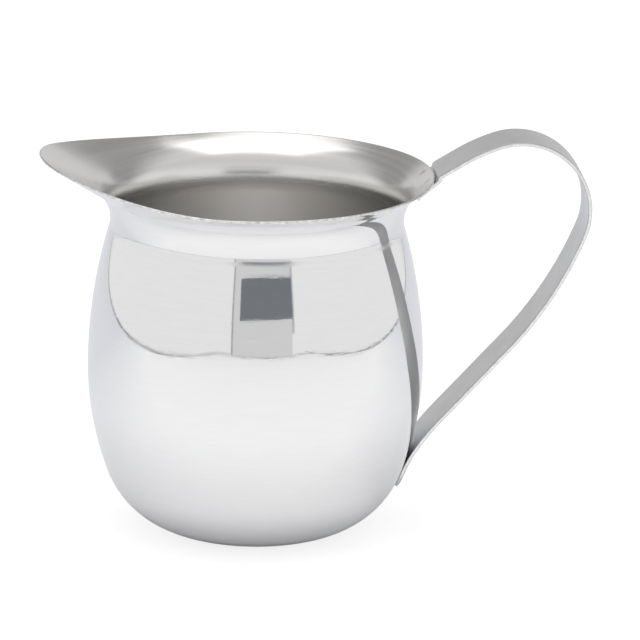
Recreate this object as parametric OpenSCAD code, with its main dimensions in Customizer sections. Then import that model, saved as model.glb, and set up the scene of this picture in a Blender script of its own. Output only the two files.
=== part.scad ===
// Small stainless steel creamer: a drawn body with a pulled spout,
// a bent strap handle, and the spot welds that join the two.
// The middle of the flat base is the origin, +Z is up,
// the spout points along -X and the handle along +X.

/* [Body] */
// Widest outside diameter of the belly
belly_d = 72; // [68:0.5:78]
// Height of the widest part of the belly
belly_h = 36.3; // [32:0.1:41]
// Diameter of the flat that the creamer stands on
base_d = 26; // [20:0.5:32]
// Outside radius of the side's curve below the belly
low_r = 66; // [58:1:80]
// Outside diameter of the neck at its narrowest
neck_d = 62.8; // [59:0.2:66]
// Height of the neck at its narrowest
neck_h = 68.5; // [65:0.5:71]
// Outside radius of the curve that brings the shoulder in to the neck
neck_bend_r = 7; // [6:0.5:16]
// Outside radius of the curve that turns the neck out into the lip
lip_bend_r = 9; // [6:0.5:9.5]
// Thickness of the body's sheet
wall = 0.5; // [0.4:0.1:0.8]

/* [Mouth and spout] */
// Diameter of the mouth at its upper edge
mouth_d = 76.4; // [73:0.2:80]
// Height of the mouth's edge away from the spout
mouth_h = 78; // [76:0.5:81]
// How far the pulled spout has drawn the mouth's circle forward
mouth_shift = 0.6; // [0:0.1:1.5]
// Distance of the spout's tip from the body's axis
spout_reach = 46.4; // [43:0.2:51]
// How far the tip stands above the rest of the edge
spout_rise = 5.3; // [2:0.1:8]
// How far ahead of the body's axis the edge starts to rise
rise_offset = 7.6; // [0:0.2:14]
// How far the strap's weld has lifted the edge at the handle
handle_lift = 0.4; // [0:0.1:0.8]
// Direction that the edge faces where the spout begins, from the handle
spout_angle = 113; // [108:1:118]
// Radius of the spout's tip, seen from above
tip_r = 23.8; // [18:0.2:28]

/* [Handle] */
// Width of the strap
strap_w = 12.6; // [10:0.2:15]
// Thickness of the strap
strap_t = 0.8; // [0.6:0.1:1]
// Length of strap tucked under the lip
tuck_l = 6; // [4.5:0.5:8]
// How far the strap steps up where it leaves the lip
step_h = 0.5; // [0.3:0.1:0.9]
// Radius of the sharp bend at the foot of that step, on the outer face
step_foot_r = 0.3; // [0.2:0.1:0.6]
// Radius of the bend at the head of that step, on the outer face
step_head_r = 1; // [0.9:0.1:1.6]
// Length of the strap's straight rise from the lip
rise_l = 5.4; // [3:0.1:8]
// Radius of the first, gentle curve of the crown
crown_r = 40; // [30:1:60]
// Radius of the long curve down the grip
grip_r = 82; // [74:1:98]
// Radius of the bend that lays the strap against the body
foot_bend_r = 36; // [20:1:45]
// Height at which the strap comes to lie on the body
foot_top_h = 12.9; // [12.4:0.1:16]
// Height of the strap's lower end
foot_end_h = 9.4; // [8:0.1:10.4]
// Radius of the rounded corners at the strap's lower end
end_corner_r = 4.4; // [1:0.2:5]
// Slope of the strap as it rises from the lip
rise_angle = 30.5; // [26:0.5:36]
// Slope of the strap where the gentle curve gives way to the tight one
crown_angle = 18; // [12:0.5:24]
// Lean of the strap, past upright, at the top of the grip
grip_top_angle = 22; // [18:0.5:28]
// Lean of the strap, past upright, at the bottom of the grip
grip_end_angle = 43; // [38:0.5:46]
// Gap left between the strap and the body
seat_gap = 0.05; // [0.04:0.01:0.1]

/* [Spot welds] */
// Diameter of each weld nugget
weld_d = 2.4; // [1.6:0.1:2.6]
// Distance between the two welds of a pair
weld_pitch = 7.4; // [4:0.2:7.4]
// Distance of the upper welds from the lip's edge
weld_inset = 2; // [1.6:0.1:2.2]
// Share of each sheet's thickness that a nugget reaches into
weld_depth_share = 0.5; // [0.3:0.05:0.7]

/* [Hidden] */
$fn = 180;

// Columns round the lip, and steps up the curve of its section
lip_columns = 144;
lip_steps = 8;
// Turn from one facet of the strap's bends to the next
facet_angle = 2;
// Steps along the strap's foot bend, along its seat and across its width
bend_steps = 14;
seat_steps = 10;
strap_steps = 12;
// How far the lip's skin stands proud of the neck's, and reaches down over it
skin_gap = 0.02;
lip_overlap_h = 1;
// Steps round the window that ends each bend of the body's section
window_steps = 12;
// Diameter of the tie inside each joint of the body's section, as a share of its wall
tie_share = 0.5;
// How closely the lift of the edge keeps to the handle
lift_sharpness = 6;
// Largest bend of the lip, as a share of the one that would leave no straight part
bend_limit_share = 0.97;
// Largest rounding of the strap's end, as a share of its width
corner_limit_share = 0.4;

belly_r = belly_d / 2;
base_r = base_d / 2;
neck_r = neck_d / 2;
mouth_r = mouth_d / 2;

// The heel's curve lies flat at the base and runs smoothly into the low curve,
// and the shoulder's runs smoothly from the belly into the neck's
belly_out = belly_r - base_r;
neck_in = belly_r - neck_r;
neck_up = neck_h - belly_h;
heel_r = (2 * low_r * belly_out - pow(belly_out, 2) - pow(belly_h, 2)) / (2 * (low_r - belly_h));
shoulder_r = (pow(neck_up, 2) / neck_in + neck_in) / 2 - neck_bend_r;
heel_c = [base_r, heel_r];
low_c = [belly_r - low_r, belly_h];
shoulder_c = [belly_r - shoulder_r, belly_h];
neck_c = [neck_r + neck_bend_r, neck_h];
heel_turn = atan2(heel_c.y - low_c.y, heel_c.x - low_c.x);
neck_turn = atan2(neck_c.y - shoulder_c.y, neck_c.x - shoulder_c.x);

function along(a) = [cos(a), sin(a)];
function left_of(a) = [-sin(a), cos(a)];
function mirrored(p) = [p.x, -p.y, p.z];
function smooth(t) = t * t * (3 - 2 * t);

// The section of the body's sheet where it bends round centre c, between two radii and two directions.
// The window that ends each bend has its corners off the sheet's faces,
// so that two neighbours share the same end line exactly.
module bent_wall(c, r_in, r_out, from, to) {
    turns = [for (k = [0:window_steps]) from + (to - from) * k / window_steps];
    intersection() {
        translate(c) difference() {
            circle(r_out);
            circle(r_in);
        }
        polygon(concat(
            [for (a = turns) c + (r_out + wall) * along(a)],
            [for (k = [window_steps:-1:0]) c + (r_in - wall) * along(turns[k])]));
    }
}
// A small round patch in the middle of the body's sheet, across the joint at p on its outer face
module wall_tie(p, facing) {
    translate(p - wall / 2 * along(facing)) circle(d = tie_share * wall);
}

// Outside of the body's section at the direction that its surface faces
function side_point(facing, proud) = facing < heel_turn
    ? heel_c + (heel_r + proud) * along(facing)
    : low_c + (low_r + proud) * along(facing);
function side_facing(h) = h < (heel_c + heel_r * along(heel_turn)).y
    ? asin((h - heel_c.y) / heel_r)
    : asin((h - low_c.y) / low_r);

module body_section() {
    square([base_r, wall]);
    bent_wall(heel_c, heel_r - wall, heel_r, -90, heel_turn);
    bent_wall(low_c, low_r - wall, low_r, heel_turn, 0);
    bent_wall(shoulder_c, shoulder_r - wall, shoulder_r, 0, neck_turn);
    bent_wall(neck_c, neck_bend_r, neck_bend_r + wall, 180, 180 + neck_turn);
    wall_tie([base_r, 0], -90);
    wall_tie(low_c + low_r * along(heel_turn), heel_turn);
    wall_tie([belly_r, belly_h], 0);
    wall_tie(shoulder_c + shoulder_r * along(neck_turn), neck_turn);
}

// The mouth's edge, seen from above, is the mouth's circle, then a side arc that runs smoothly
// from it into the tip's arc
mouth_c = [-mouth_shift, 0];
tip_c = [tip_r - spout_reach, 0];
tip_side = (tip_c - mouth_c) * along(spout_angle);
spout_side_r = (pow(mouth_r, 2) + pow(norm(tip_c - mouth_c), 2) - pow(tip_r, 2) - 2 * mouth_r * tip_side)
    / (2 * (mouth_r - tip_r - tip_side));
side_c = mouth_c - (spout_side_r - mouth_r) * along(spout_angle);
tip_turn = atan2(tip_c.y - side_c.y, tip_c.x - side_c.x);

function edge_height(x) = mouth_h
    + spout_rise * pow(max(0, -x - rise_offset) / (spout_reach - rise_offset), 2)
    + handle_lift * pow(max(0, x) / (mouth_r - mouth_shift), lift_sharpness);
function edge_plan(turn) =
    turn < spout_angle ? mouth_c + mouth_r * along(turn)
    : turn < tip_turn ? side_c + spout_side_r * along(turn)
    : tip_c + tip_r * along(turn);
function edge_point(turn) =
    turn > 180 ? mirrored(edge_point(360 - turn))
    : let (p = edge_plan(turn)) [p.x, p.y, edge_height(p.x)];

// Radius of the lip's bend towards an edge at (r, z), small enough to leave a straight part,
// and the slope from upright of that straight part
function lip_bend(r, z) =
    let (out = r - neck_r + wall, up = z - neck_h)
    min(lip_bend_r, bend_limit_share * (out * out + up * up) / (2 * out) - wall);
function lip_slope(r, z) =
    let (
        bend = lip_bend(r, z),
        reach = [r - neck_r - bend, z - neck_h],
        l = sqrt(reach * reach - pow(bend + wall, 2))
    )
    atan2(reach.y, -reach.x) - atan2(l, bend + wall);

// A point of the neck's curve, of radius bend, at a drop below the narrowest place
function neck_point(bend, drop) = neck_c - [sqrt(bend * bend - drop * drop), drop];

// One column of the lip: up its underside, over the edge and down its inside
function lip_column(turn) =
    let (
        edge = edge_point(turn),
        around = atan2(edge.y, edge.x),
        r = norm([edge.x, edge.y]),
        slope = lip_slope(r, edge.z),
        bend = lip_bend(r, edge.z),
        c = [neck_r + bend, neck_h],
        under_r = bend - skin_gap,
        inner_r = bend + wall + skin_gap,
        inward = [-cos(slope), sin(slope)],
        section = concat(
            [neck_point(neck_bend_r - skin_gap, lip_overlap_h)],
            [for (k = [0:lip_steps]) let (a = slope * k / lip_steps) c + under_r * [-cos(a), sin(a)]],
            [[r, edge.z] - (wall + skin_gap) * inward, [r, edge.z] + skin_gap * inward],
            [for (k = [lip_steps:-1:0]) let (a = slope * k / lip_steps) c + inner_r * [-cos(a), sin(a)]],
            [neck_point(neck_bend_r + wall + skin_gap, lip_overlap_h)])
    )
    [for (p = section) [p.x * cos(around), p.x * sin(around), p.y]];

// A skin over a grid of points: rows that may close round on themselves, and closed loops
function grid_faces(rows, loop, closed) = [
    for (i = [0:(closed ? rows - 1 : rows - 2)], j = [0:loop - 1])
        let (
            a = i * loop + j,
            b = i * loop + (j + 1) % loop,
            c = ((i + 1) % rows) * loop + (j + 1) % loop,
            d = ((i + 1) % rows) * loop + j
        )
        each [[a, b, c], [a, c, d]]
];

module lip() {
    columns = [for (i = [0:lip_columns - 1]) lip_column(i * 360 / lip_columns)];
    polyhedron(
        points = [for (c = columns) each c],
        faces = grid_faces(len(columns), len(columns[0]), true)
    );
}

// The lip's underside on the handle's side
back_edge = edge_point(0);
back_slope = lip_slope(back_edge.x, back_edge.z);
back_bend = lip_bend(back_edge.x, back_edge.z);
back_c = [neck_r + back_bend, neck_h];
lip_heading = 90 - back_slope;
lip_corner = [back_edge.x, back_edge.z] - wall * left_of(lip_heading);
lip_straight = norm(lip_corner - back_c - back_bend * left_of(lip_heading));

// The strap's outer face, as a path of straight runs and bends seen from the side
tuck_r = back_bend - seat_gap;
tuck_run = min(tuck_l, lip_straight);
tuck_turn = (tuck_l - tuck_run) * 180 / (PI * tuck_r);
step_turn = acos(1 - step_h / (step_foot_r + step_head_r));
grip_top_heading = -90 - grip_top_angle;
fall_heading = -90 - grip_end_angle;
foot_facing = side_facing(foot_top_h);
end_facing = side_facing(foot_end_h);
foot_heading = foot_facing - 90;
strap_proud = seat_gap + strap_t;

function bend_end(p, heading, r, turn) = p + sign(turn) * r * (left_of(heading) - left_of(heading + turn));

tuck_start = tuck_turn > 0
    ? back_c + tuck_r * left_of(lip_heading + tuck_turn)
    : back_c + tuck_r * left_of(lip_heading) + (lip_straight - tuck_run) * along(lip_heading);
step_start = back_c + tuck_r * left_of(lip_heading) + lip_straight * along(lip_heading);
step_middle = bend_end(step_start, lip_heading, step_foot_r, step_turn);
step_fall = lip_heading + step_turn - rise_angle;
rise_begin = bend_end(step_middle, lip_heading + step_turn, step_head_r, -step_fall);

foot_start = side_point(foot_facing, strap_proud);
foot_turn = foot_heading - fall_heading;
seat_l = norm(side_point(end_facing, strap_proud) - foot_start);
fall_end = foot_start - bend_end([0, 0], fall_heading, foot_bend_r, foot_turn);

// The tight corner over to the grip and the straight fall to the foot close the gap that is left,
// so the corner's radius and the fall's length come from it
crown_start = rise_begin + rise_l * along(rise_angle);
corner_start = bend_end(crown_start, rise_angle, crown_r, crown_angle - rise_angle);
grip_span = bend_end([0, 0], grip_top_heading, grip_r, fall_heading - grip_top_heading);
gap_span = fall_end - corner_start - grip_span;
corner_share = left_of(grip_top_heading) - left_of(crown_angle);
corner_r = cross(gap_span, along(fall_heading)) / cross(corner_share, along(fall_heading));
fall_l = cross(corner_share, gap_span) / cross(corner_share, along(fall_heading));
grip_start = corner_start + corner_r * corner_share;
fall_start = grip_start + grip_span;

// The strap seen from the side: rows of a point on its outer face and the heading there,
// after the start and up to the end of a bend, which turns left if turn is positive, or of a straight run
function bend_rows(p, heading, r, turn) =
    let (steps = ceil(abs(turn) / facet_angle))
    [for (k = [1:steps]) let (t = turn * k / steps) [p + bend_end([0, 0], heading, r, t), heading + t]];
function run_end(p, heading, l) = [[p + l * along(heading), heading]];

strap_rows = concat(
    [[tuck_start, lip_heading + tuck_turn]],
    tuck_turn > 0 ? bend_rows(tuck_start, lip_heading + tuck_turn, tuck_r, -tuck_turn) : [],
    [[step_start, lip_heading]],
    bend_rows(step_start, lip_heading, step_foot_r, step_turn),
    bend_rows(step_middle, lip_heading + step_turn, step_head_r, -step_fall),
    run_end(rise_begin, rise_angle, rise_l),
    bend_rows(crown_start, rise_angle, crown_r, crown_angle - rise_angle),
    bend_rows(corner_start, crown_angle, corner_r, grip_top_heading - crown_angle),
    bend_rows(grip_start, grip_top_heading, grip_r, fall_heading - grip_top_heading),
    run_end(fall_start, fall_heading, fall_l)
);

module strap_side_view() {
    polygon(concat(
        [for (row = strap_rows) row[0]],
        [for (k = [len(strap_rows) - 1:-1:0]) let (row = strap_rows[k])
            row[0] - strap_t * left_of(row[1])]
    ));
}

// How far a surface of radius r falls back at distance y from the middle
function fall_back(r, y) = r - sqrt(r * r - y * y);

// Half of the strap's width at a distance from its rounded lower end
round_r = min(end_corner_r, corner_limit_share * strap_w);
function half_width(from_end) = strap_w / 2 - round_r
    + sqrt(pow(round_r, 2) - pow(max(0, round_r - from_end), 2));

// The foot bends from a flat strap into a saddle that follows the body
function foot_row(outer, inner, cupped, from_end) =
    let (across = [for (k = [0:strap_steps]) half_width(from_end) * (2 * k / strap_steps - 1)])
    concat(
        [for (y = across) [outer.x - cupped * fall_back(outer.x, y), y, outer.y]],
        [for (k = [strap_steps:-1:0]) let (y = across[k])
            [inner.x - cupped * fall_back(inner.x, y), y, inner.y]]
    );
function foot_bend_row(share) =
    let (
        heading = fall_heading + foot_turn * share,
        outer = bend_end(fall_end, fall_heading, foot_bend_r, foot_turn * share),
        inner = outer - strap_t * left_of(heading)
    )
    foot_row(outer, inner, smooth(share), seat_l + foot_bend_r * foot_turn * (1 - share) * PI / 180);
function foot_seat_row(share) =
    let (facing = foot_facing + (end_facing - foot_facing) * share)
    foot_row(side_point(facing, strap_proud), side_point(facing, seat_gap), 1, seat_l * (1 - share));

module strap_foot() {
    // The rows crowd together towards the end, where the corners turn quickly
    rows = concat(
        [for (i = [0:bend_steps]) foot_bend_row(i / bend_steps)],
        [for (i = [1:seat_steps]) foot_seat_row(1 - pow(1 - i / seat_steps, 2))]
    );
    loop = len(rows[0]);
    last = (len(rows) - 1) * loop;
    first_cap = [for (k = [0:strap_steps - 1])
        each [[k, loop - 2 - k, k + 1], [k, loop - 1 - k, loop - 2 - k]]];
    last_cap = [for (f = first_cap) [last + f[0], last + f[2], last + f[1]]];
    polyhedron(
        points = [for (r = rows) each r],
        faces = concat(grid_faces(len(rows), loop, false), first_cap, last_cap)
    );
}

// A nugget lies across the gap between two sheets, along its own Z
module nugget(share_of_body, share_of_strap) {
    translate([0, 0, -seat_gap - share_of_strap * strap_t])
        cylinder(d = weld_d, h = seat_gap + share_of_strap * strap_t + share_of_body * wall);
}
// Z points from the strap into the body's sheet at each weld
module upper_welds(share_of_body, share_of_strap) {
    p = lip_corner - weld_inset * along(lip_heading);
    for (side = [-1, 1])
        translate([p.x, side * weld_pitch / 2, p.y])
            rotate([0, -lip_heading, 0])
                nugget(share_of_body, share_of_strap);
}
module lower_welds(share_of_body, share_of_strap) {
    facing = (foot_facing + end_facing) / 2;
    p = side_point(facing, 0);
    around = asin(weld_pitch / 2 / p.x);
    for (side = [-1, 1])
        rotate([0, 0, side * around])
            translate([p.x, 0, p.y])
                rotate([0, -90 - facing, 0])
                    nugget(share_of_body, share_of_strap);
}

module body() {
    color("gainsboro")
        difference() {
            union() {
                rotate_extrude() body_section();
                lip();
            }
            upper_welds(weld_depth_share, 1);
            lower_welds(weld_depth_share, 1);
        }
}

module handle() {
    color("silver")
        difference() {
            union() {
                rotate([90, 0, 0])
                    linear_extrude(height = strap_w, center = true)
                        strap_side_view();
                strap_foot();
            }
            upper_welds(1, weld_depth_share);
            lower_welds(1, weld_depth_share);
        }
}

module upper_spot_welds() {
    color("dimgray") upper_welds(weld_depth_share, weld_depth_share);
}

module lower_spot_welds() {
    color("dimgray") lower_welds(weld_depth_share, weld_depth_share);
}

body();
handle();
upper_spot_welds();
lower_spot_welds();
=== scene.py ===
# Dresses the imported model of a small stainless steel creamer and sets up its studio.
# The middle of the flat base is the origin, +Z is up, the spout points along -X
# and the handle along +X. All lengths are in metres.

from math import acos, asin, atan2, cos, hypot, pi, radians, sin, sqrt

import bmesh
import bpy
from bpy.props import FloatProperty, FloatVectorProperty, PointerProperty
from mathutils import Matrix, Vector


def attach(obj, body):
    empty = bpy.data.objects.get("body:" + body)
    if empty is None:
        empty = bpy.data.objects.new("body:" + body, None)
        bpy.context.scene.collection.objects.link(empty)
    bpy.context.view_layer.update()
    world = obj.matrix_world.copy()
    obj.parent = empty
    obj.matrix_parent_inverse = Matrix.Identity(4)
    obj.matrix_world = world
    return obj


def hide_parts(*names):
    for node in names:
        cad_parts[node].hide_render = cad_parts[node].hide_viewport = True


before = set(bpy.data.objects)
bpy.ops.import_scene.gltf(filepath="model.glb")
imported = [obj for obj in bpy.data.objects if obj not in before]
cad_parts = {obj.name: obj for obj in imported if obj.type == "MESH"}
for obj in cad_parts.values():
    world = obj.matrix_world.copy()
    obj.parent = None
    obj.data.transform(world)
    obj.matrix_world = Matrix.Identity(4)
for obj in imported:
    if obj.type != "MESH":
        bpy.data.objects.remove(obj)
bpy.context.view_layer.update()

bl_info = {
    "name": "Stainless Steel Creamer",
    "version": (1, 0, 0),
    "blender": (4, 5, 0),
    "location": "3D View > Sidebar > Creamer",
    "description": "Builds the steel body and strap handle of a small creamer, and its studio",
    "category": "Add Mesh",
}

MM = 0.001

# Corners closer than this are one
MERGE_DISTANCE = 1e-7

# Places of the materials on the body and on the strap
OUTSIDE, INSIDE, CUT_EDGE = range(3)
BROAD, SHEARED, WORN = range(3)


def length(name, description, default_mm):
    return FloatProperty(name=name, description=description, default=default_mm * MM, min=0.0,
                         subtype="DISTANCE", unit="LENGTH", precision=5)


def angle(name, description, default_degrees):
    return FloatProperty(name=name, description=description, default=radians(default_degrees),
                         subtype="ANGLE", unit="ROTATION")


def tone(name, description, default):
    return FloatVectorProperty(name=name, description=description, default=default, size=3,
                               min=0.0, max=1.0, subtype="COLOR")


def share(name, description, default):
    return FloatProperty(name=name, description=description, default=default, min=0.0, max=1.0,
                         subtype="FACTOR")


# Sizes and colours

class CREAMER_PG_body(bpy.types.PropertyGroup):
    belly_d: length("Belly diameter", "Widest outside diameter of the belly", 72)
    belly_h: length("Belly height", "Height of the widest part of the belly", 36.3)
    base_d: length("Base diameter", "Diameter of the flat that the creamer stands on", 26)
    low_r: length("Low curve", "Outside radius of the side below the belly", 66)
    neck_d: length("Neck diameter", "Outside diameter of the neck at its narrowest", 62.8)
    neck_h: length("Neck height", "Height of the neck at its narrowest", 68.5)
    neck_bend_r: length("Neck bend", "Outside radius of the curve from the shoulder to the neck", 7)
    lip_bend_r: length("Lip bend", "Outside radius of the curve from the neck to the lip", 9)
    wall: length("Wall", "Thickness of the body's sheet", 0.5)
    rim_round: length("Rim rounding", "Radius of the worn corners of the sheet's cut edge", 0.2)
    mouth_d: length("Mouth diameter", "Diameter of the mouth at its upper edge", 76.4)
    mouth_h: length("Mouth height", "Height of the mouth's edge away from the spout", 78)
    mouth_shift: length("Mouth shift", "How far the pulled spout draws the mouth's circle forward", 0.6)
    spout_reach: length("Spout reach", "Distance of the spout's tip from the body's axis", 46.4)
    spout_rise: length("Spout rise", "How far the tip stands above the rest of the edge", 5.3)
    rise_offset: length("Rise offset", "How far ahead of the axis the edge starts to rise", 7.6)
    handle_lift: length("Handle lift", "How far the strap's weld has lifted the edge at the handle", 0.4)
    spout_angle: angle("Spout angle", "Direction that the edge faces where the spout begins", 113)
    tip_r: length("Tip radius", "Radius of the spout's tip, seen from above", 23.8)
    polish: tone("Polish", "Colour of the polished outside", (0.865, 0.865, 0.872))
    inside: tone("Inside", "Colour of the brushed inside", (0.80, 0.79, 0.775))
    cut_edge: tone("Cut edge", "Colour of the rim's cut edge", (0.92, 0.92, 0.91))


class CREAMER_PG_handle(bpy.types.PropertyGroup):
    strap_w: length("Strap width", "Width of the strap", 12.6)
    strap_t: length("Strap thickness", "Thickness of the strap", 0.8)
    edge_round: length("Edge rounding", "Radius of the strap's broken corners", 0.14)
    tuck_l: length("Tuck", "Length of strap tucked under the lip", 6)
    step_h: length("Step height", "How far the strap steps up where it leaves the lip", 0.5)
    step_foot_r: length("Step foot", "Outer radius of the sharp bend at the foot of that step", 0.3)
    step_head_r: length("Step head", "Outer radius of the sharp bend at the head of that step", 1)
    rise_l: length("Rise", "Length of the strap's straight rise from the lip", 5.4)
    crown_r: length("Crown curve", "Radius of the first, gentle curve of the crown", 40)
    grip_r: length("Grip curve", "Radius of the long curve down the grip", 82)
    foot_bend_r: length("Foot bend", "Radius of the bend that lays the strap on the body", 36)
    foot_top_h: length("Foot top", "Height at which the strap comes to lie on the body", 12.9)
    foot_end_h: length("Foot end", "Height of the strap's lower end", 9.4)
    end_corner_r: length("End corners", "Radius of the rounded corners at the lower end", 4.4)
    rise_angle: angle("Rise slope", "Slope of the strap as it rises from the lip", 30.5)
    crown_angle: angle("Crown slope", "Slope where the gentle curve gives way to the tight one", 18)
    grip_top_angle: angle("Grip lean, top", "Lean past upright at the top of the grip", 22)
    grip_end_angle: angle("Grip lean, bottom", "Lean past upright at the bottom of the grip", 43)
    seat_gap: length("Seat gap", "Gap left between the strap and the body", 0.05)
    weld_pitch: length("Weld pitch", "Distance between the two welds of a pair", 7.4)
    weld_inset: length("Weld inset", "Distance of the upper welds from the lip's edge", 2)
    satin: tone("Satin", "Colour of the strap's satin faces", (0.71, 0.71, 0.715))
    sheared: tone("Sheared edge", "Colour of the strap's sheared edges", (0.88, 0.88, 0.88))


class CREAMER_PG_studio(bpy.types.PropertyGroup):
    camera_distance: length("Camera distance", "Distance of the camera from its aim point", 1500)
    camera_azimuth: angle("Camera azimuth", "Turn of the camera round the object", -5.679)
    camera_elevation: angle("Camera elevation", "Height of the camera above level", 15.759)
    camera_roll: angle("Camera roll", "Roll of the camera about its own axis", 0.842)
    surround: share("Surround", "Brightness of the studio in front and at the sides", 0.87)
    backdrop: share("Backdrop", "Brightness of the studio behind the object", 0.70)
    front: share("Front", "Brightness of the upper studio on the camera's side", 0.72)
    ceiling: share("Ceiling", "Brightness of the upper studio behind the object", 0.34)


# Plane geometry in the (out, up) plane, or (x, z) for the strap

def along(a):
    return Vector((cos(a), sin(a)))


def left_of(a):
    return Vector((-sin(a), cos(a)))


def smooth(t):
    """Eases from 0 to 1."""
    return t * t * (3 - 2 * t)


def arc(centre, radius, start, end, steps):
    """Points round a centre, after the first and up to the last."""
    return [centre + radius * along(start + (end - start) * k / steps) for k in range(1, steps + 1)]


def quarter_turn(steps, start=0.0):
    """Directions from a start through a right angle, in even steps."""
    return [start + k * pi / 2 / steps for k in range(steps + 1)]


class BodyForm:
    """The body's curves, worked out from its sizes."""

    # Facets along the curves of the side from the base up, and along the lip's curve
    HEEL_STEPS = 22
    LOW_STEPS = 14
    SHOULDER_STEPS = 18
    NECK_STEPS = 12
    LIP_STEPS = 10
    # Facets of each worn corner of the cut edge
    WORN_STEPS = 3
    # The largest share of its room that the lip's curve takes up
    BEND_SHARE = 0.97
    # Distance of the first row beside the cut edge, in radii of its worn corners
    BORDER_SHARE = 1.6
    # How steeply the edge rises towards the spout's tip, and lifts towards the handle
    RISE_POWER = 2
    LIFT_POWER = 6

    def __init__(self, s):
        self.s = s
        belly_r = s.belly_d / 2
        self.base_r = s.base_d / 2
        self.neck_r = s.neck_d / 2
        self.mouth_r = s.mouth_d / 2
        belly_out = belly_r - self.base_r
        neck_in = belly_r - self.neck_r
        neck_up = s.neck_h - s.belly_h
        self.heel_r = ((2 * s.low_r * belly_out - belly_out ** 2 - s.belly_h ** 2)
                       / (2 * (s.low_r - s.belly_h)))
        self.shoulder_r = (neck_up ** 2 / neck_in + neck_in) / 2 - s.neck_bend_r
        self.heel_c = Vector((self.base_r, self.heel_r))
        self.low_c = Vector((belly_r - s.low_r, s.belly_h))
        self.shoulder_c = Vector((belly_r - self.shoulder_r, s.belly_h))
        self.neck_c = Vector((self.neck_r + s.neck_bend_r, s.neck_h))
        self.heel_turn = atan2(self.heel_c.y - self.low_c.y, self.heel_c.x - self.low_c.x)
        self.neck_turn = atan2(self.neck_c.y - self.shoulder_c.y, self.neck_c.x - self.shoulder_c.x)

        self.mouth_c = Vector((-s.mouth_shift, 0))
        self.tip_c = Vector((s.tip_r - s.spout_reach, 0))
        between = self.tip_c - self.mouth_c
        tip_side = between.dot(along(s.spout_angle))
        side_gap = self.mouth_r ** 2 + between.length_squared - s.tip_r ** 2 - 2 * self.mouth_r * tip_side
        self.spout_side_r = side_gap / (2 * (self.mouth_r - s.tip_r - tip_side))
        self.side_c = self.mouth_c - (self.spout_side_r - self.mouth_r) * along(s.spout_angle)
        tip_turn = atan2(self.tip_c.y - self.side_c.y, self.tip_c.x - self.side_c.x)
        side_start = self.mouth_c + self.mouth_r * along(s.spout_angle)
        tip_start = self.tip_c + s.tip_r * along(tip_turn)
        self.side_azimuth = atan2(side_start.y, side_start.x)
        self.tip_azimuth = atan2(tip_start.y, tip_start.x)

    def side(self, inset):
        """The side's face from the middle of the base to the narrowest place of the neck."""
        s = self.s
        points = [Vector((0, inset)), Vector((self.base_r / 2, inset)), Vector((self.base_r, inset))]
        points += arc(self.heel_c, self.heel_r - inset, -pi / 2, self.heel_turn, self.HEEL_STEPS)
        points += arc(self.low_c, s.low_r - inset, self.heel_turn, 0, self.LOW_STEPS)
        points += arc(self.shoulder_c, self.shoulder_r - inset, 0, self.neck_turn, self.SHOULDER_STEPS)
        points += arc(self.neck_c, s.neck_bend_r + inset, pi + self.neck_turn, pi, self.NECK_STEPS)
        return points

    def edge(self, azimuth):
        """Distance from the axis and height of the mouth's edge in a direction from the axis."""
        s = self.s
        turn = abs(azimuth)
        centre, radius = self.tip_c, s.tip_r
        if turn < self.side_azimuth:
            centre, radius = self.mouth_c, self.mouth_r
        elif turn < self.tip_azimuth:
            centre, radius = self.side_c, self.spout_side_r
        reach = centre.dot(along(turn))
        out = reach + sqrt(reach ** 2 - centre.length_squared + radius ** 2)
        ahead = max(0.0, -out * cos(turn) - s.rise_offset) / (s.spout_reach - s.rise_offset)
        back = max(0.0, out * cos(turn)) / (self.mouth_r - s.mouth_shift)
        lift = s.handle_lift * back ** self.LIFT_POWER
        return out, s.mouth_h + s.spout_rise * ahead ** self.RISE_POWER + lift

    def lip_bend(self, out, up):
        """Radius of the lip's curve towards an edge, and its slope from upright beyond the curve."""
        s = self.s
        over, rise = out - self.neck_r + s.wall, up - s.neck_h
        bend = min(s.lip_bend_r, self.BEND_SHARE * (over ** 2 + rise ** 2) / (2 * over) - s.wall)
        reach = Vector((out - self.neck_r - bend, rise))
        straight = sqrt(reach.length_squared - (bend + s.wall) ** 2)
        return bend, atan2(reach.y, -reach.x) - atan2(straight, bend + s.wall)

    def lip(self, azimuth):
        """The lip's face in a direction from the axis: up its underside, over the edge, down its inside."""
        s = self.s
        out, up = self.edge(azimuth)
        bend, slope = self.lip_bend(out, up)
        centre = Vector((self.neck_r + bend, s.neck_h))
        inward = Vector((-cos(slope), sin(slope)))
        outward = Vector((sin(slope), cos(slope)))
        turns = [slope * k / self.LIP_STEPS for k in range(1, self.LIP_STEPS + 1)]
        under = [centre + bend * Vector((-cos(a), sin(a))) for a in turns]
        inner = [centre + (bend + s.wall) * Vector((-cos(a), sin(a))) for a in turns[::-1]]
        inner_corner = Vector((out, up))
        outer_corner = inner_corner - s.wall * inward
        r = s.rim_round
        beside = inner_corner - self.BORDER_SHARE * r * outward
        under += [under[-1].lerp(outer_corner, 0.5), beside - s.wall * inward]
        inner[:0] = [beside, inner[0].lerp(inner_corner, 0.5)]

        def worn_corner(middle, start):
            return [middle + r * (sin(a) * outward - cos(a) * inward)
                    for a in quarter_turn(self.WORN_STEPS, start)]

        rim = worn_corner(outer_corner + r * (inward - outward), 0.0)
        rim += worn_corner(inner_corner - r * (inward + outward), pi / 2)
        return under, rim, inner


def finish_mesh(name, bm, materials):
    """A shown object at the origin with this mesh, smoothly shaded."""
    mesh = bpy.data.meshes.new(name)
    for face in bm.faces:
        face.smooth = True
    bm.to_mesh(mesh)
    bm.free()
    for material in materials:
        mesh.materials.append(material)
    piece = bpy.data.objects.new(name, mesh)
    bpy.context.scene.collection.objects.link(piece)
    return piece


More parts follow.
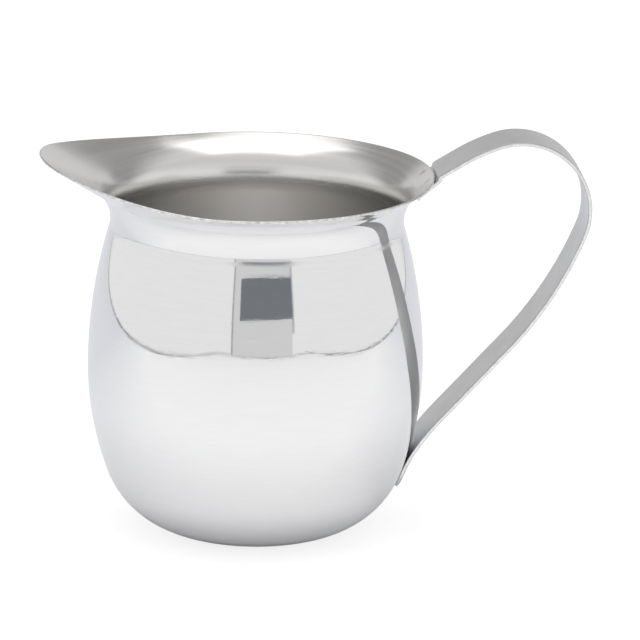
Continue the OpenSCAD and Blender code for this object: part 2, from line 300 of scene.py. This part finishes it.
def shape_body(form, spin_steps=360):
    """The pressed sheet: its section spun round the axis, then its lip drawn out to the mouth's edge."""
    under, rim, inner = form.lip(0.0)
    outside = form.side(0.0)
    inside = form.side(form.s.wall)
    section = outside + under + rim + inner + inside[::-1]
    lip_start = len(outside)
    rim_start = lip_start + len(under)
    rim_end = rim_start + len(rim)
    lip_end = rim_end + len(inner)

    bm = bmesh.new()
    station = bm.verts.layers.int.new("station")
    run = bm.verts.layers.float.new("run")
    verts = []
    length_so_far = 0.0
    for k, p in enumerate(section):
        v = bm.verts.new((p.x, 0, p.y))
        length_so_far += (p - section[max(0, k - 1)]).length
        v[station] = k
        v[run] = length_so_far
        verts.append(v)
    edges = [bm.edges.new(pair) for pair in zip(verts, verts[1:])]
    bmesh.ops.spin(bm, geom=verts + edges, cent=(0, 0, 0), axis=(0, 0, 1), angle=2 * pi,
                   steps=spin_steps, use_merge=True, use_duplicate=False)
    lips = {}
    for v in bm.verts:
        if lip_start <= v[station] < lip_end:
            azimuth = atan2(v.co.y, v.co.x)
            key = round(azimuth * spin_steps / (2 * pi)) % spin_steps
            if key not in lips:
                lips[key] = sum(form.lip(azimuth), [])
            p = lips[key][v[station] - lip_start]
            v.co = (p.x * cos(azimuth), p.x * sin(azimuth), p.y)
    for face in bm.faces:
        stations = [v[station] for v in face.verts]
        if min(stations) >= rim_end - 1:
            face.material_index = INSIDE
        elif max(stations) > rim_start:
            face.material_index = CUT_EDGE
    bmesh.ops.remove_doubles(bm, verts=bm.verts, dist=MERGE_DISTANCE)
    bmesh.ops.recalc_face_normals(bm, faces=bm.faces)
    return bm


class StrapForm:
    """The strap's outer face as a path seen from the side, worked out from the sizes."""

    # Rows along each stretch of the strap, from its tucked end to its foot
    TUCK_BEND_ROWS = 6
    TUCK_ROWS = 2
    STEP_FOOT_ROWS = 6
    STEP_HEAD_ROWS = 10
    RISE_ROWS = 3
    CROWN_ROWS = 6
    CORNER_ROWS = 44
    GRIP_ROWS = 16
    FALL_ROWS = 6
    FOOT_ROWS = 14
    # Facets across half a broad face, and of each worn corner
    HALF_FACE_STEPS = 8
    WORN_STEPS = 3
    # The largest share of the strap's width that a rounded corner takes up
    CORNER_SHARE = 0.4

    def __init__(self, body, h):
        self.body = body
        self.h = h
        out, up = body.edge(0.0)
        self.lip_r, slope = body.lip_bend(out, up)
        self.lip_c = Vector((body.neck_r + self.lip_r, body.s.neck_h))
        self.lip_heading = pi / 2 - slope
        self.lip_corner = Vector((out, up)) - body.s.wall * left_of(self.lip_heading)
        self.grip_top_heading = -pi / 2 - h.grip_top_angle
        self.fall_heading = -pi / 2 - h.grip_end_angle

        self.foot_facing = self.facing_at(h.foot_top_h)
        self.end_facing = self.facing_at(h.foot_end_h)
        self.foot_turn = self.foot_facing - pi / 2 - self.fall_heading
        foot_start = self.side_point(self.foot_facing)
        self.seat_l = (self.side_point(self.end_facing) - foot_start).length
        self.fall_end = foot_start - self.swing(self.fall_heading, h.foot_bend_r, self.foot_turn)

        self.rows = []
        self.run = 0.0
        corner_start = self.lay_tuck_and_rise()
        self.lay_grip(corner_start)
        self.lay_foot()

    def lay_tuck_and_rise(self):
        """From the end under the lip over the step at its edge, up to the tight bend of the crown."""
        h = self.h
        heading = self.lip_heading
        lip_straight = (self.lip_corner - self.lip_c - self.lip_r * left_of(heading)).length
        tuck_r = self.lip_r - h.seat_gap
        tuck_run = min(h.tuck_l, lip_straight)
        tuck_turn = (h.tuck_l - tuck_run) / tuck_r
        step_turn = acos(1 - h.step_h / (h.step_foot_r + h.step_head_r))
        p = self.lip_c + tuck_r * left_of(heading + tuck_turn)
        self.row(p, heading + tuck_turn)
        if tuck_turn > 0:
            p = self.bend(p, heading + tuck_turn, tuck_r, -tuck_turn, self.TUCK_BEND_ROWS)
        p = self.straight(p, heading, tuck_run, self.TUCK_ROWS)
        p = self.bend(p, heading, h.step_foot_r, step_turn, self.STEP_FOOT_ROWS)
        p = self.bend(p, heading + step_turn, h.step_head_r, h.rise_angle - heading - step_turn,
                      self.STEP_HEAD_ROWS)
        p = self.straight(p, h.rise_angle, h.rise_l, self.RISE_ROWS)
        return self.bend(p, h.rise_angle, h.crown_r, h.crown_angle - h.rise_angle, self.CROWN_ROWS)

    def lay_grip(self, corner_start):
        """Round the tight bend and down the grip. The bend's radius and the fall's length close the gap."""
        h = self.h
        grip_turn = self.fall_heading - self.grip_top_heading
        gap = self.fall_end - corner_start - self.swing(self.grip_top_heading, h.grip_r, grip_turn)
        corner_way = left_of(self.grip_top_heading) - left_of(h.crown_angle)
        fall_way = along(self.fall_heading)
        corner_r = gap.cross(fall_way) / corner_way.cross(fall_way)
        fall_l = corner_way.cross(gap) / corner_way.cross(fall_way)
        p = self.bend(corner_start, h.crown_angle, corner_r, self.grip_top_heading - h.crown_angle,
                      self.CORNER_ROWS)
        p = self.bend(p, self.grip_top_heading, h.grip_r, grip_turn, self.GRIP_ROWS)
        self.straight(p, self.fall_heading, fall_l, self.FALL_ROWS)

    def lay_foot(self):
        """From the straight fall on to the body's side, where the strap cups to it, and down to its end."""
        bend_l = self.h.foot_bend_r * self.foot_turn
        for k in range(1, self.FOOT_ROWS + 1):
            part = k / self.FOOT_ROWS
            turn = self.foot_turn * part
            self.row(self.fall_end + self.swing(self.fall_heading, self.h.foot_bend_r, turn),
                     self.fall_heading + turn, smooth(part), self.seat_l + bend_l * (1 - part))
        for k in range(1, self.FOOT_ROWS + 1):
            part = 1 - (1 - k / self.FOOT_ROWS) ** 2
            facing = self.foot_facing + (self.end_facing - self.foot_facing) * part
            self.row(self.side_point(facing), facing - pi / 2, 1.0, self.seat_l * (1 - part))

    def facing_at(self, height):
        """Direction that the body's side faces at a height."""
        b = self.body
        if height < (b.heel_c + b.heel_r * along(b.heel_turn)).y:
            return asin((height - b.heel_c.y) / b.heel_r)
        return asin((height - b.low_c.y) / b.s.low_r)

    def side_point(self, facing):
        """Point of the strap's outer face where it lies on the body's side."""
        b = self.body
        proud = self.h.seat_gap + self.h.strap_t
        if facing < b.heel_turn:
            return b.heel_c + (b.heel_r + proud) * along(facing)
        return b.low_c + (b.s.low_r + proud) * along(facing)

    @staticmethod
    def swing(heading, radius, turn):
        """Way from the start of a bend to its end."""
        side = 1 if turn > 0 else -1
        return side * radius * (left_of(heading) - left_of(heading + turn))

    def row(self, p, heading, cupped=0.0, from_end=1.0):
        """Adds a row at a point: how far it is cupped to the body, and its distance from the lower end."""
        if self.rows:
            self.run += (p - self.rows[-1][0]).length
        self.rows.append((p, heading, cupped, from_end, self.run))

    def bend(self, p, heading, radius, turn, steps):
        """Adds rows round a bend, and gives the point at its end."""
        for k in range(1, steps + 1):
            self.row(p + self.swing(heading, radius, turn * k / steps), heading + turn * k / steps)
        return p + self.swing(heading, radius, turn)

    def straight(self, p, heading, run, steps):
        """Adds rows along a straight stretch, and gives the point at its end."""
        for k in range(1, steps + 1):
            self.row(p + run * k / steps * along(heading), heading)
        return p + run * along(heading)

    def half_width(self, from_end):
        """Half the strap's width, which is less within the rounded corners of its lower end."""
        h = self.h
        round_r = min(h.end_corner_r, self.CORNER_SHARE * h.strap_w)
        return h.strap_w / 2 - round_r + sqrt(round_r ** 2 - max(0.0, round_r - from_end) ** 2)

    def section(self, from_end):
        """Points round the strap's section: across it, depth below the outer face, and kind of surface."""
        h = self.h
        half = self.half_width(from_end)
        r = h.edge_round
        steps = self.HALF_FACE_STEPS
        flat = [(half - r) * sin((k / steps - 1) * pi / 2) for k in range(2 * steps + 1)]
        worn = quarter_turn(self.WORN_STEPS)[1:-1]
        points = [(y, 0.0, BROAD) for y in flat]
        points += [(half - r + r * sin(a), r - r * cos(a), WORN) for a in worn]
        points += [(half, r, SHEARED), (half, h.strap_t - r, SHEARED)]
        points += [(half - r + r * cos(a), h.strap_t - r + r * sin(a), WORN) for a in worn]
        points += [(y, h.strap_t, BROAD) for y in flat[::-1]]
        points += [(-half + r - r * sin(a), h.strap_t - r + r * cos(a), WORN) for a in worn]
        points += [(-half, h.strap_t - r, SHEARED), (-half, r, SHEARED)]
        points += [(-half + r - r * cos(a), r - r * sin(a), WORN) for a in worn]
        return points


def shape_strap(form):
    """The strap: its section pulled from row to row of the path, and closed at both ends."""
    bm = bmesh.new()
    grain = bm.loops.layers.uv.new("strap")
    place = {}

    def lay_out(verts, row):
        p, heading, cupped, from_end, run = row
        for v, (y, depth, kind) in zip(verts, form.section(from_end)):
            q = p - depth * left_of(heading)
            x = q.x - cupped * (q.x - sqrt(q.x ** 2 - y ** 2))
            v.co = (x, y, q.y)
            place[v] = (y, run, kind)

    count = len(form.section(1.0))
    ring = [bm.verts.new() for k in range(count)]
    lay_out(ring, form.rows[0])
    edges = [bm.edges.new((ring[k], ring[(k + 1) % count])) for k in range(count)]
    first = ring
    for row in form.rows[1:]:
        made = bmesh.ops.extrude_edge_only(bm, edges=edges)["geom"]
        new = set(g for g in made if isinstance(g, bmesh.types.BMVert))
        ring = [next(e.other_vert(v) for e in v.link_edges if e.other_vert(v) in new) for v in ring]
        edges = [bm.edges.get((ring[k], ring[(k + 1) % count])) for k in range(count)]
        lay_out(ring, row)
    for loop in (first, ring):
        bmesh.ops.triangulate(bm, faces=[bm.faces.new(loop)])
    for face in bm.faces:
        face.material_index = max(place[v][2] for v in face.verts)
        for loop in face.loops:
            y, run, kind = place[loop.vert]
            loop[grain].uv = (y, run)
    bmesh.ops.recalc_face_normals(bm, faces=bm.faces)
    return bm


# Materials

class Nodes:
    """A short way to build a material's nodes."""

    def __init__(self, tree):
        self.tree = tree
        tree.nodes.clear()

    def add(self, kind, inputs=None, **settings):
        node = self.tree.nodes.new(kind)
        for key, value in settings.items():
            setattr(node, key, value)
        for key, value in (inputs or {}).items():
            if isinstance(value, bpy.types.NodeSocket):
                self.tree.links.new(value, node.inputs[key])
            else:
                node.inputs[key].default_value = value
        return node

    def math(self, operation, a, b):
        return self.add("ShaderNodeMath", {0: a, 1: b}, operation=operation).outputs[0]

    def remap(self, value, low, high, to_low, to_high):
        return self.add("ShaderNodeMapRange", {"Value": value, "From Min": low, "From Max": high,
                                               "To Min": to_low, "To Max": to_high}).outputs["Result"]

    def noise(self, vector, scale, detail=2.0, roughness=0.5):
        return self.add("ShaderNodeTexNoise", {"Vector": vector, "Scale": scale, "Detail": detail,
                                               "Roughness": roughness}).outputs["Fac"]

    def stretched(self, vector, scale):
        return self.add("ShaderNodeMapping", {"Vector": vector, "Scale": scale}).outputs["Vector"]

    def round_and_up(self):
        """The plan's two ways with the distance along the section as the third, for lines that ring
        the body."""
        place = self.add("ShaderNodeTexCoord").outputs["Object"]
        xyz = self.add("ShaderNodeSeparateXYZ", {0: place}).outputs
        run = self.add("ShaderNodeAttribute", attribute_name="run").outputs["Fac"]
        return self.add("ShaderNodeCombineXYZ", {0: xyz["X"], 1: xyz["Y"], 2: run}).outputs[0]

    def mix(self, factor, a, b):
        node = self.add("ShaderNodeMix", data_type="RGBA")
        for index, value in ((0, factor), (6, a), (7, b)):
            if isinstance(value, bpy.types.NodeSocket):
                self.tree.links.new(value, node.inputs[index])
            elif index:
                node.inputs[index].default_value = (*value, 1.0)
            else:
                node.inputs[index].default_value = value
        return node.outputs[2]


def steel(name, colour):
    """A bare metal surface, and its nodes and shader."""
    material = bpy.data.materials.new(name)
    material.use_nodes = True
    material.diffuse_color = (*colour, 1.0)
    n = Nodes(material.node_tree)
    output = n.add("ShaderNodeOutputMaterial")
    shader = n.add("ShaderNodeBsdfPrincipled", {"Metallic": 1.0, "Base Color": (*colour, 1.0)})
    n.tree.links.new(shader.outputs[0], output.inputs[0])
    return material, n, shader


def link(n, source, shader, socket):
    n.tree.links.new(source, shader.inputs[socket])


def scaled(colour, factor):
    return [min(1.0, factor * c) for c in colour]


def polished_steel(colour, neck_h):
    """Mirror polish with fine polishing lines round the body and a slight waviness. The bend into the
    neck, where the polishing wheel hardly reaches, is duller."""
    dull_low, dull_high, fade = neck_h - 2.3 * MM, neck_h - 1.0 * MM, 0.4 * MM
    material, n, shader = steel("polished_steel", colour)
    where = n.add("ShaderNodeTexCoord").outputs["Object"]
    ring = n.round_and_up()
    lines = n.noise(n.stretched(ring, (150, 150, 1500)), 1.0, 3.0, 0.6)
    swirl = n.noise(n.stretched(ring, (900, 900, 1500)), 1.0, 3.0, 0.6)
    waves = n.noise(where, 70, 1.0)
    smear = n.noise(n.stretched(ring, (40, 40, 700)), 1.0, 4.0, 0.6)
    height = n.add("ShaderNodeSeparateXYZ", {0: where}).outputs["Z"]
    into_bend = n.remap(height, dull_low, dull_low + fade, 0.0, 0.16)
    past_bend = n.remap(height, dull_high - fade, dull_high, 1.0, 0.0)
    dull = n.math("MULTIPLY", into_bend, past_bend)
    link(n, n.math("ADD", n.remap(smear, 0.3, 0.8, 0.02, 0.08), dull), shader, "Roughness")
    streaks = n.remap(lines, 0.35, 0.65, 0.0, 1.0)
    link(n, n.mix(streaks, scaled(colour, 0.985), scaled(colour, 1.005)), shader, "Base Color")
    fine = n.add("ShaderNodeBump", {"Height": lines, "Strength": 0.5, "Distance": 5.0e-6})
    grit = n.add("ShaderNodeBump", {"Height": swirl, "Strength": 0.5, "Distance": 4.0e-6,
                                    "Normal": fine.outputs[0]})
    wavy = n.add("ShaderNodeBump", {"Height": waves, "Strength": 0.5, "Distance": 70e-6,
                                    "Normal": grit.outputs[0]})
    link(n, wavy.outputs[0], shader, "Normal")
    return material


def brushed_steel(colour, neck_h, welds):
    """The inside: satin, brushed in rings round the axis, with the heat marks of the spot welds. Below
    the neck it is duller, and its colour is painted lighter there as painted light for the deep inside."""
    neck_fade = 2.5 * MM
    mark_r, mark_core = 1.2 * MM, 0.2 * MM
    material, n, shader = steel("brushed_steel", colour)
    where = n.add("ShaderNodeTexCoord").outputs["Object"]
    ring = n.round_and_up()
    rings = n.noise(n.stretched(ring, (30, 30, 5200)), 1.0, 3.0)
    broad = n.noise(n.stretched(ring, (20, 20, 900)), 1.0, 3.0)
    streaks = n.remap(broad, 0.3, 0.7, 0.0, 1.0)
    tint = n.mix(streaks, scaled(colour, 0.94), scaled(colour, 1.05))
    height = n.add("ShaderNodeSeparateXYZ", {0: where}).outputs["Z"]
    below_neck = n.remap(height, neck_h - neck_fade, neck_h + neck_fade, 1.0, 0.0)
    # Painted light: below the neck the colour is made lighter to stand in for light in the deep inside.
    tint = n.mix(below_neck, tint, scaled(colour, 1.08))
    marks = None
    for spot in welds:
        near = n.add("ShaderNodeVectorMath", {0: where, 1: spot}, operation="DISTANCE").outputs["Value"]
        mark = n.remap(near, mark_core, mark_r, 1.0, 0.0)
        marks = mark if marks is None else n.math("MAXIMUM", marks, mark)
    blotch = n.math("MULTIPLY", marks, n.noise(where, 1800, 2.0))
    link(n, n.mix(blotch, tint, (0.30, 0.26, 0.21)), shader, "Base Color")
    satin = n.math("ADD", n.remap(broad, 0.2, 0.8, 0.16, 0.26), n.math("MULTIPLY", below_neck, 0.13))
    link(n, satin, shader, "Roughness")
    bump = n.add("ShaderNodeBump", {"Height": rings, "Strength": 0.6, "Distance": 4e-6})
    dent = n.add("ShaderNodeBump", {"Height": marks, "Strength": 0.5, "Distance": 60e-6,
                                    "Normal": bump.outputs[0]}, invert=True)
    link(n, dent.outputs[0], shader, "Normal")
    return material


def cut_steel(name, colour, sparkle):
    """A cut edge: bright, with small facets that catch the light, and painted glints: its colour is lighter
    on random facets.
    """
    material, n, shader = steel(name, colour)
    where = n.add("ShaderNodeTexCoord").outputs["Object"]
    facets = n.noise(where, 1500, 3.0, 0.7)
    painted_glints = n.remap(facets, 0.35, 0.6, 0.0, 1.0)
    # Painted glints: the base colour is lighter where the facet noise is high.
    link(n, n.mix(painted_glints, scaled(colour, 1 - sparkle / 2), colour), shader, "Base Color")
    link(n, n.remap(facets, 0.3, 0.7, 0.40, 0.24), shader, "Roughness")
    bump = n.add("ShaderNodeBump", {"Height": facets, "Strength": 0.7 * sparkle, "Distance": 25e-6})
    link(n, bump.outputs[0], shader, "Normal")
    return material


def satin_strap_steel(colour):
    """The strap's faces: satin, with fine lines across it and faint blotches."""
    material, n, shader = steel("satin_strap_steel", colour)
    uv = n.add("ShaderNodeUVMap", uv_map="strap").outputs["UV"]
    where = n.add("ShaderNodeTexCoord").outputs["Object"]
    lines = n.noise(n.stretched(uv, (9000, 260, 1)), 1.0, 3.0)
    cloud = n.noise(where, 110, 4.0, 0.6)
    clouds = n.remap(cloud, 0.3, 0.7, 0.0, 1.0)
    link(n, n.mix(clouds, scaled(colour, 0.95), scaled(colour, 1.04)), shader, "Base Color")
    link(n, n.remap(lines, 0.3, 0.7, 0.30, 0.42), shader, "Roughness")
    bump = n.add("ShaderNodeBump", {"Height": lines, "Strength": 0.5, "Distance": 3e-6})
    link(n, bump.outputs[0], shader, "Normal")
    return material


def weld_steel():
    """The fused metal of a spot weld, dull and slightly browned by heat."""
    material, n, shader = steel("weld_steel", (0.42, 0.39, 0.36))
    where = n.add("ShaderNodeTexCoord").outputs["Object"]
    grain = n.noise(where, 2200, 3.0)
    link(n, n.mix(grain, (0.34, 0.29, 0.24), (0.50, 0.48, 0.46)), shader, "Base Color")
    link(n, n.remap(grain, 0.3, 0.7, 0.45, 0.6), shader, "Roughness")
    return material


def emission(name, strength, tint=(1.0, 1.0, 1.0)):
    """A plain glowing surface for a studio card."""
    material = bpy.data.materials.new(name)
    material.use_nodes = True
    n = Nodes(material.node_tree)
    output = n.add("ShaderNodeOutputMaterial")
    glow = n.add("ShaderNodeEmission", {"Color": (*[strength * c for c in tint], 1.0)})
    n.tree.links.new(glow.outputs[0], output.inputs[0])
    return material


# Operators

class CREAMER_OT_body(bpy.types.Operator):
    """Builds the pressed steel body with its pulled spout"""
    bl_idname = "creamer.body"
    bl_label = "Body"

    def execute(self, context):
        s = context.scene.creamer_body
        h = context.scene.creamer_handle
        form = BodyForm(s)
        strap = StrapForm(form, h)
        inward = left_of(strap.lip_heading)
        middle = strap.lip_corner - h.weld_inset * along(strap.lip_heading) + s.wall * inward
        welds = [(middle.x, side * h.weld_pitch / 2, middle.y) for side in (-1, 1)]
        piece = finish_mesh("body_shell", shape_body(form), [
            polished_steel(s.polish, s.neck_h),
            brushed_steel(s.inside, s.neck_h, welds),
            cut_steel("cut_rim_steel", s.cut_edge, 0.8)])
        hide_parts("body")
        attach(piece, "root")
        return {"FINISHED"}


class CREAMER_OT_handle(bpy.types.Operator):
    """Builds the bent strap handle"""
    bl_idname = "creamer.handle"
    bl_label = "Handle"

    def execute(self, context):
        scene = context.scene
        h = scene.creamer_handle
        form = StrapForm(BodyForm(scene.creamer_body), h)
        piece = finish_mesh("strap_handle", shape_strap(form), [
            satin_strap_steel(h.satin),
            cut_steel("sheared_steel", h.sheared, 0.25),
            # Painted shade: the rounded corners get the edge colour darkened, for dark lines along the
            # strap's edges.
            cut_steel("painted_shade_corner_steel", scaled(h.sheared, 0.62), 0.2)])
        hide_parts("handle")
        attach(piece, "root")
        return {"FINISHED"}


class CREAMER_OT_welds(bpy.types.Operator):
    """Gives the spot welds their finish"""
    bl_idname = "creamer.welds"
    bl_label = "Spot welds"

    def execute(self, context):
        material = weld_steel()
        for name in ("upper_spot_welds", "lower_spot_welds"):
            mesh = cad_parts[name].data
            mesh.materials.clear()
            mesh.materials.append(material)
        return {"FINISHED"}


def studio_card(name, camera_azimuth, turns, elevations, distance, strength, tint=(1.0, 1.0, 1.0)):
    """A glowing card seen only in reflections. It stands between two turns from the camera's side and
    two elevations, in degrees, as seen from the object's middle."""
    bm = bmesh.new()
    eye = Vector((0, 0, 55 * MM))
    corners = []
    for turn, elevation in ((turns[0], elevations[0]), (turns[1], elevations[0]),
                            (turns[1], elevations[1]), (turns[0], elevations[1])):
        a, e = camera_azimuth + radians(turn), radians(elevation)
        way = Vector((sin(a), -cos(a), sin(e) / cos(e)))
        corners.append(bm.verts.new(eye + distance * way))
    bm.faces.new(corners)
    hide_but_in_reflections(finish_mesh(name, bm, [emission(name, strength, tint)]))


def hide_but_in_reflections(card):
    """Makes this part of the studio, seen by glossy surfaces alone."""
    card.visible_camera = False
    card.visible_diffuse = False
    card.visible_shadow = False


class CREAMER_OT_studio(bpy.types.Operator):
    """Sets up the camera, the white floor, the studio's cards and its lights"""
    bl_idname = "creamer.studio"
    bl_label = "Studio"

    def execute(self, context):
        scene = context.scene
        s = scene.creamer_studio
        self.camera(scene, s)
        self.floor(s)
        self.cards(s)
        self.world(scene, s)
        self.lights()
        scene.view_settings.view_transform = "Standard"
        return {"FINISHED"}

    def camera(self, scene, s):
        """A long lens from far off, turned and rolled as in the picture."""
        aim = Vector((13.8321 * MM, 0.0, 45.7185 * MM))
        a, e, roll = s.camera_azimuth, s.camera_elevation, s.camera_roll
        back = Vector((sin(a) * cos(e), -cos(a) * cos(e), sin(e)))
        level = Vector((cos(a), sin(a), 0))
        up = back.cross(level)
        right = cos(roll) * level + sin(roll) * up
        top = cos(roll) * up - sin(roll) * level
        data = bpy.data.cameras.new("camera")
        data.lens = 392.9
        data.sensor_width = 36.0
        data.clip_start = 0.05
        data.clip_end = 50.0
        camera = bpy.data.objects.new("camera", data)
        turn = Matrix((right, top, back)).transposed().to_4x4()
        camera.matrix_world = Matrix.Translation(aim + s.camera_distance * back) @ turn
        scene.collection.objects.link(camera)
        scene.camera = camera

    def floor(self, s):
        """A white table that glows a little to the camera, and greys towards its back in reflections."""
        half_width, front, far, lip_h = 0.38, -0.66, 2.34, 3 * MM
        near_tone, far_tone, fade_from, fade_to = [0.97] * 3, (0.76, 0.77, 0.80), -0.05, 0.12
        bm = bmesh.new()
        bmesh.ops.create_grid(bm, x_segments=1, y_segments=1, size=1.0)
        bmesh.ops.scale(bm, vec=(half_width, (far - front) / 2, 1.0), verts=bm.verts)
        bmesh.ops.translate(bm, vec=(0, (far + front) / 2, 0), verts=bm.verts)
        material = bpy.data.materials.new("floor")
        material.use_nodes = True
        n = Nodes(material.node_tree)
        output = n.add("ShaderNodeOutputMaterial")
        path = n.add("ShaderNodeLightPath").outputs
        place = n.add("ShaderNodeSeparateXYZ", {0: n.add("ShaderNodeTexCoord").outputs["Object"]}).outputs
        falling = n.mix(n.remap(place["Y"], fade_from, fade_to, 0.0, 1.0), near_tone, far_tone)
        plain = n.add("ShaderNodeBsdfDiffuse", {
            "Color": n.mix(path["Is Glossy Ray"], (0.96, 0.96, 0.96), falling)})
        glow = n.add("ShaderNodeEmission", {"Color": (1.0, 1.0, 1.0, 1.0), "Strength": 1.15})
        share_of_glow = n.math("MULTIPLY", path["Is Camera Ray"], 0.7)
        mixed = n.add("ShaderNodeMixShader", {0: share_of_glow, 1: plain.outputs[0], 2: glow.outputs[0]})
        n.tree.links.new(mixed.outputs[0], output.inputs[0])
        finish_mesh("floor", bm, [material])

        outline = ((-half_width, far), (-half_width, front), (half_width, front), (half_width, far))
        bm = bmesh.new()
        rows = [[bm.verts.new((x, y, z)) for x, y in outline] for z in (0.0, lip_h)]
        for k in range(len(outline) - 1):
            bm.faces.new((rows[0][k], rows[0][k + 1], rows[1][k + 1], rows[1][k]))
        hide_but_in_reflections(finish_mesh("table_lip", bm, [emission("table_lip", 0.30)]))

    def cards(self, s):
        """The grey post with its darker sides that shows in the belly, and the dark panel on it."""
        a = s.camera_azimuth
        left, right, side_w = -14.9, 25.6, 1.2
        low, high = -4, 32
        studio_card("post", a, turns=(left, right), elevations=(low, high), distance=1.4, strength=0.69)
        studio_card("post_left_side", a, turns=(left - side_w, left), elevations=(low, high),
                    distance=1.35, strength=0.42)
        studio_card("post_right_side", a, turns=(right, 27.2), elevations=(1, high),
                    distance=1.35, strength=0.50)
        studio_card("dark_panel", a, turns=(-10.5, 26.2), elevations=(4.2, 14.1),
                    distance=1.2, strength=0.20, tint=(0.94, 1.0, 1.08))

    def world(self, scene, s):
        """Bright all round at the height of the object and darker above, but plain white to the camera."""
        low_dim, high_dim, dim_fade = 0.06, 0.30, 0.15
        world = bpy.data.worlds.new("studio")
        world.use_nodes = True
        scene.world = world
        n = Nodes(world.node_tree)
        output = n.add("ShaderNodeOutputWorld")
        way = n.add("ShaderNodeTexCoord").outputs["Generated"]
        xyz = n.add("ShaderNodeSeparateXYZ", {0: way}).outputs
        turned = n.math("ARCTAN2", xyz["X"], xyz["Y"])
        off = n.math("ABSOLUTE", n.math("SUBTRACT", turned, -s.camera_azimuth), 0.0)
        behind = n.remap(off, radians(30), radians(45), 1.0, 0.0)
        lower = n.mix(behind, [s.surround] * 3, [s.backdrop] * 3)
        to_camera = (sin(s.camera_azimuth), -cos(s.camera_azimuth), 0.0)
        dot = n.add("ShaderNodeVectorMath", {0: way, 1: to_camera}, operation="DOT_PRODUCT")
        ahead = dot.outputs["Value"]
        nearer = n.remap(ahead, -0.5, -0.1, low_dim, high_dim)
        dim_from = n.math("MAXIMUM", nearer, n.math("MULTIPLY", behind, high_dim))
        high = n.remap(xyz["Z"], dim_from, n.math("ADD", dim_from, dim_fade), 0.0, 1.0)
        upper = n.mix(n.remap(ahead, -0.45, 0.0, 0.0, 1.0), [s.ceiling] * 3, [s.front] * 3)
        around = n.mix(high, lower, upper)
        camera = n.add("ShaderNodeLightPath").outputs["Is Camera Ray"]
        light = n.add("ShaderNodeBackground", {"Color": n.mix(camera, around, (1.0, 1.0, 1.0))})
        n.tree.links.new(light.outputs[0], output.inputs[0])

    def lights(self):
        """A softbox above that shows in the metal, and a broad fill that doesn't."""
        for name, height, back, size, radiance, shows in (
                ("overhead_softbox", 1.0, 0.05, (0.86, 0.9), 1.02, True),
                ("fill", 1.5, 0.0, (2.0, 2.0), 0.64, False)):
            data = bpy.data.lights.new(name, "AREA")
            data.shape = "RECTANGLE"
            data.size, data.size_y = size
            data.energy = radiance * pi * size[0] * size[1]
            lamp = bpy.data.objects.new(name, data)
            lamp.location = (0.0, back, height)
            lamp.visible_glossy = shows
            bpy.context.scene.collection.objects.link(lamp)


class CREAMER_PT_panel(bpy.types.Panel):
    """The creamer's pieces and their sizes"""
    bl_idname = "CREAMER_PT_panel"
    bl_label = "Creamer"
    bl_space_type = "VIEW_3D"
    bl_region_type = "UI"
    bl_category = "Creamer"

    def draw(self, context):
        layout = self.layout
        for operator, settings in (("creamer.body", "creamer_body"), ("creamer.handle", "creamer_handle"),
                                   ("creamer.welds", None), ("creamer.studio", "creamer_studio")):
            box = layout.box()
            box.operator(operator)
            if settings:
                group = getattr(context.scene, settings)
                for key in group.bl_rna.properties.keys():
                    if key not in ("rna_type", "name"):
                        box.prop(group, key)


GROUPS = {
    "creamer_body": CREAMER_PG_body,
    "creamer_handle": CREAMER_PG_handle,
    "creamer_studio": CREAMER_PG_studio,
}
CLASSES = (*GROUPS.values(), CREAMER_OT_body, CREAMER_OT_handle, CREAMER_OT_welds, CREAMER_OT_studio,
           CREAMER_PT_panel)


def register():
    for cls in CLASSES:
        bpy.utils.register_class(cls)
    for name, cls in GROUPS.items():
        setattr(bpy.types.Scene, name, PointerProperty(type=cls))


def unregister():
    for name in GROUPS:
        delattr(bpy.types.Scene, name)
    for cls in reversed(CLASSES):
        bpy.utils.unregister_class(cls)


def main():
    register()
    bpy.ops.creamer.studio()
    bpy.ops.creamer.body()
    bpy.ops.creamer.handle()
    bpy.ops.creamer.welds()


if __name__ == "__main__":
    main()
